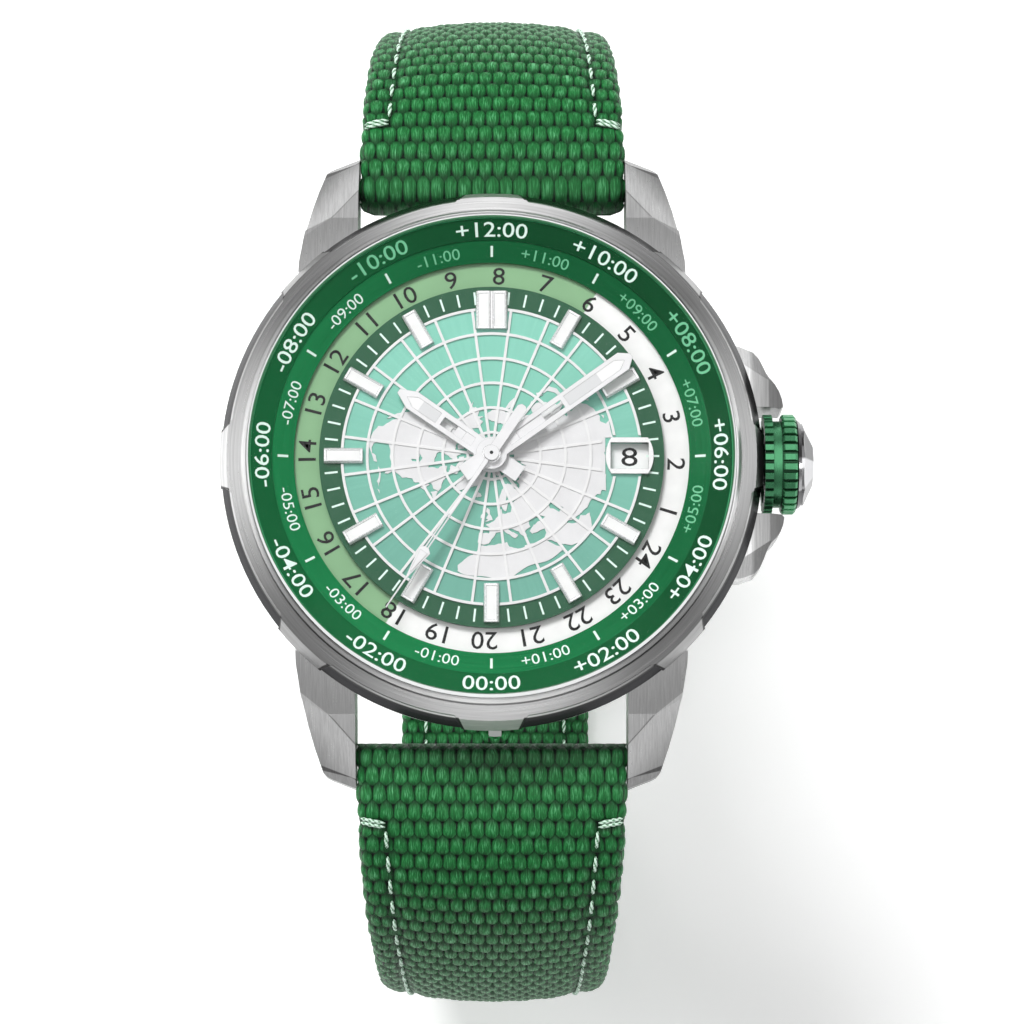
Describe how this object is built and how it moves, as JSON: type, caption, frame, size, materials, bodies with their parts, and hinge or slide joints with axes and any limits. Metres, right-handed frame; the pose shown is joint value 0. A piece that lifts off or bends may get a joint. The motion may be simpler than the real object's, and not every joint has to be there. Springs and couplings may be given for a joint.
{
  "type": "world-time wristwatch",
  "caption": "Round steel wristwatch with a world-time ring, date window, guarded knurled crown and a stitched green fabric strap, open and curled to stand on its own.",
  "frame": {"origin": "on the axis of the hands at the outer face of the case back", "axes": "+Z out of the dial, +Y towards 12 o'clock, +X towards the crown"},
  "size_m": [0.0483, 0.085, 0.0713],
  "materials": {
    "mid_case": "brushed, polished edges",
    "bezel": "brushed tabs, polished scoops",
    "crystal": "clear, domed",
    "crystal_gasket": "matt",
    "flange_ring": "circular brushed lacquer",
    "dial_plate": "matt lacquer",
    "map_grid": "matt white",
    "hour_markers": "polished",
    "marker_lume": "lume filling",
    "date_frame": "polished",
    "date_disc": "white",
    "ring_24h": "light green and white halves",
    "ring_idler_a": "plain",
    "ring_idler_b": "plain",
    "hour_hand": "white and polished",
    "hour_lume": "lume filling",
    "hour_wheel": "plain",
    "minute_hand": "white and polished",
    "minute_lume": "lume filling",
    "cannon_pinion": "plain",
    "minute_wheel": "plain",
    "seconds_hand": "white",
    "seconds_arbor": "plain",
    "third_wheel": "plain",
    "centre_wheel": "plain",
    "barrel": "plain",
    "escape_wheel": "plain",
    "pallet_fork": "plain",
    "balance_wheel": "plain",
    "hairspring": "blued",
    "main_plate": "plain",
    "train_bridge": "plain",
    "balance_cock": "plain",
    "bridge_screws": "blued",
    "jewels": "ruby",
    "movement_ring": "plain",
    "rotor": "plain",
    "rotor_bearing": "plain",
    "setting_lever": "plain",
    "winding_stem": "plain",
    "crown_tube": "plain",
    "crown_grip": "green anodised, knurled",
    "crown_cap": "polished facets",
    "crown_gasket": "matt",
    "case_back": "plain",
    "case_back_gasket": "matt",
    "spring_bar_12": "plain",
    "spring_bar_6": "plain",
    "strap_12": "coarse green weave, white stitching",
    "strap_6": "coarse green weave, white stitching",
    "buckle_frame": "brushed",
    "buckle_bar": "plain",
    "buckle_tongue": "brushed",
    "buckle_loops": "coarse green weave",
    "fixed_keeper": "plain",
    "free_keeper": "plain"
  },
  "bodies": {
    "case": {"mid_case": "mid_case", "bezel": "bezel", "crystal": "crystal", "crystal_gasket": "crystal_gasket", "flange_ring": "flange_ring", "dial_plate": "dial_plate", "map_grid": "map_grid", "hour_markers": "hour_markers", "marker_lume": "marker_lume", "date_frame": "date_frame", "hairspring": "hairspring", "main_plate": "main_plate", "train_bridge": "train_bridge", "balance_cock": "balance_cock", "bridge_screws": "bridge_screws", "jewels": "jewels", "movement_ring": "movement_ring", "rotor_bearing": "rotor_bearing", "crown_tube": "crown_tube", "case_back": "case_back", "case_back_gasket": "case_back_gasket", "spring_bar_12": "spring_bar_12", "spring_bar_6": "spring_bar_6"},
    "ring_24h": {"ring_24h": "ring_24h"},
    "idler_a": {"ring_idler_a": "ring_idler_a"},
    "idler_b": {"ring_idler_b": "ring_idler_b"},
    "hour": {"hour_hand": "hour_hand", "hour_lume": "hour_lume", "hour_wheel": "hour_wheel"},
    "minute": {"minute_hand": "minute_hand", "minute_lume": "minute_lume", "cannon_pinion": "cannon_pinion"},
    "minute_wheel": {"minute_wheel": "minute_wheel"},
    "seconds": {"seconds_hand": "seconds_hand", "seconds_arbor": "seconds_arbor"},
    "third_wheel": {"third_wheel": "third_wheel"},
    "centre_wheel": {"centre_wheel": "centre_wheel"},
    "barrel": {"barrel": "barrel"},
    "escape_wheel": {"escape_wheel": "escape_wheel"},
    "pallet_fork": {"pallet_fork": "pallet_fork"},
    "balance": {"balance_wheel": "balance_wheel"},
    "rotor": {"rotor": "rotor"},
    "date_disc": {"date_disc": "date_disc"},
    "stem_pull": {"setting_lever": "setting_lever"},
    "crown": {"winding_stem": "winding_stem", "crown_grip": "crown_grip", "crown_cap": "crown_cap", "crown_gasket": "crown_gasket"},
    "strap_12": {"strap_12": "strap_12", "fixed_keeper": "fixed_keeper", "buckle_loops": "buckle_loops"},
    "strap_6": {"strap_6": "strap_6"},
    "buckle": {"buckle_frame": "buckle_frame", "buckle_bar": "buckle_bar"},
    "tongue": {"buckle_tongue": "buckle_tongue"},
    "keeper": {"free_keeper": "free_keeper"}
  },
  "joints": [
    {"name": "ring_24h_turn", "type": "hinge", "parent": "case", "child": "ring_24h", "pos_m": [0, 0, 0], "axis": [0, 0, 1], "continuous": true},
    {"name": "hour_hand_turn", "type": "hinge", "parent": "case", "child": "hour", "pos_m": [0, 0, 0], "axis": [0, 0, 1], "continuous": true},
    {"name": "minute_hand_turn", "type": "hinge", "parent": "case", "child": "minute", "pos_m": [0, 0, 0], "axis": [0, 0, 1], "continuous": true},
    {"name": "minute_wheel_turn", "type": "hinge", "parent": "case", "child": "minute_wheel", "pos_m": [-0.00346, 0.002, 0], "axis": [0, 0, 1], "continuous": true},
    {"name": "idler_a_turn", "type": "hinge", "parent": "case", "child": "idler_a", "pos_m": [-0.00838, 0, 0], "axis": [0, 0, 1], "continuous": true},
    {"name": "idler_b_turn", "type": "hinge", "parent": "case", "child": "idler_b", "pos_m": [-0.01172, 0, 0], "axis": [0, 0, 1], "continuous": true},
    {"name": "seconds_hand_turn", "type": "hinge", "parent": "case", "child": "seconds", "pos_m": [0, 0, 0], "axis": [0, 0, 1], "continuous": true},
    {"name": "third_wheel_turn", "type": "hinge", "parent": "case", "child": "third_wheel", "pos_m": [-0.00205, 0.0044, 0], "axis": [0, 0, 1], "continuous": true},
    {"name": "centre_wheel_turn", "type": "hinge", "parent": "case", "child": "centre_wheel", "pos_m": [0, 0, 0], "axis": [0, 0, 1], "continuous": true},
    {"name": "barrel_turn", "type": "hinge", "parent": "case", "child": "barrel", "pos_m": [-0.00592, -0.00215, 0], "axis": [0, 0, 1], "continuous": true},
    {"name": "escape_wheel_turn", "type": "hinge", "parent": "case", "child": "escape_wheel", "pos_m": [0.00234, -0.00405, 0], "axis": [0, 0, 1], "continuous": true},
    {"name": "pallet_swing", "type": "hinge", "parent": "case", "child": "pallet_fork", "pos_m": [0.00516, -0.00508, 0], "axis": [0, 0, 1], "range_deg": [-6, 6]},
    {"name": "balance_swing", "type": "hinge", "parent": "case", "child": "balance", "pos_m": [0.00882, -0.00641, 0], "axis": [0, 0, 1], "range_deg": [-270, 270], "stiffness_Nm_per_rad": 0.0000003},
    {"name": "rotor_turn", "type": "hinge", "parent": "case", "child": "rotor", "pos_m": [0, 0, 0], "axis": [0, 0, 1], "continuous": true},
    {"name": "date_disc_turn", "type": "hinge", "parent": "case", "child": "date_disc", "pos_m": [0, 0, 0], "axis": [0, 0, 1], "continuous": true},
    {"name": "crown_pull", "type": "slide", "parent": "case", "child": "stem_pull", "axis": [1, 0, 0], "range_m": [0, 0.0012]},
    {"name": "crown_turn", "type": "hinge", "parent": "stem_pull", "child": "crown", "pos_m": [0.022, 0, 0.0043], "axis": [1, 0, 0], "continuous": true},
    {"name": "strap_12_swing", "type": "hinge", "parent": "case", "child": "strap_12", "pos_m": [0, 0.0235, 0.001], "axis": [1, 0, 0], "range_deg": [0, 75]},
    {"name": "strap_6_swing", "type": "hinge", "parent": "case", "child": "strap_6", "pos_m": [0, -0.0235, 0.001], "axis": [-1, 0, 0], "range_deg": [0, 75]},
    {"name": "buckle_swing", "type": "hinge", "parent": "strap_12", "child": "buckle", "pos_m": [0, 0.00823, -0.0428], "axis": [1, 0, 0], "range_deg": [-45, 45]},
    {"name": "tongue_swing", "type": "hinge", "parent": "buckle", "child": "tongue", "pos_m": [0, 0.00823, -0.0428], "axis": [1, 0, 0], "range_deg": [0, 60]},
    {"name": "keeper_slide", "type": "slide", "parent": "strap_12", "child": "keeper", "axis": [0, 0.9703, 0.2419], "range_m": [-0.0018, 0.0034]}
  ],
  "couplings": [
    {"joint": "hour_hand_turn", "follows": "ring_24h_turn", "ratio": 2},
    {"joint": "minute_hand_turn", "follows": "ring_24h_turn", "ratio": 24},
    {"joint": "minute_wheel_turn", "follows": "ring_24h_turn", "ratio": -8},
    {"joint": "idler_a_turn", "follows": "ring_24h_turn", "ratio": -8},
    {"joint": "idler_b_turn", "follows": "ring_24h_turn", "ratio": 8},
    {"joint": "third_wheel_turn", "follows": "seconds_hand_turn", "ratio": -0.125},
    {"joint": "centre_wheel_turn", "follows": "seconds_hand_turn", "ratio": 0.016667},
    {"joint": "barrel_turn", "follows": "seconds_hand_turn", "ratio": -0.0020833},
    {"joint": "escape_wheel_turn", "follows": "seconds_hand_turn", "ratio": -12}
  ]
}
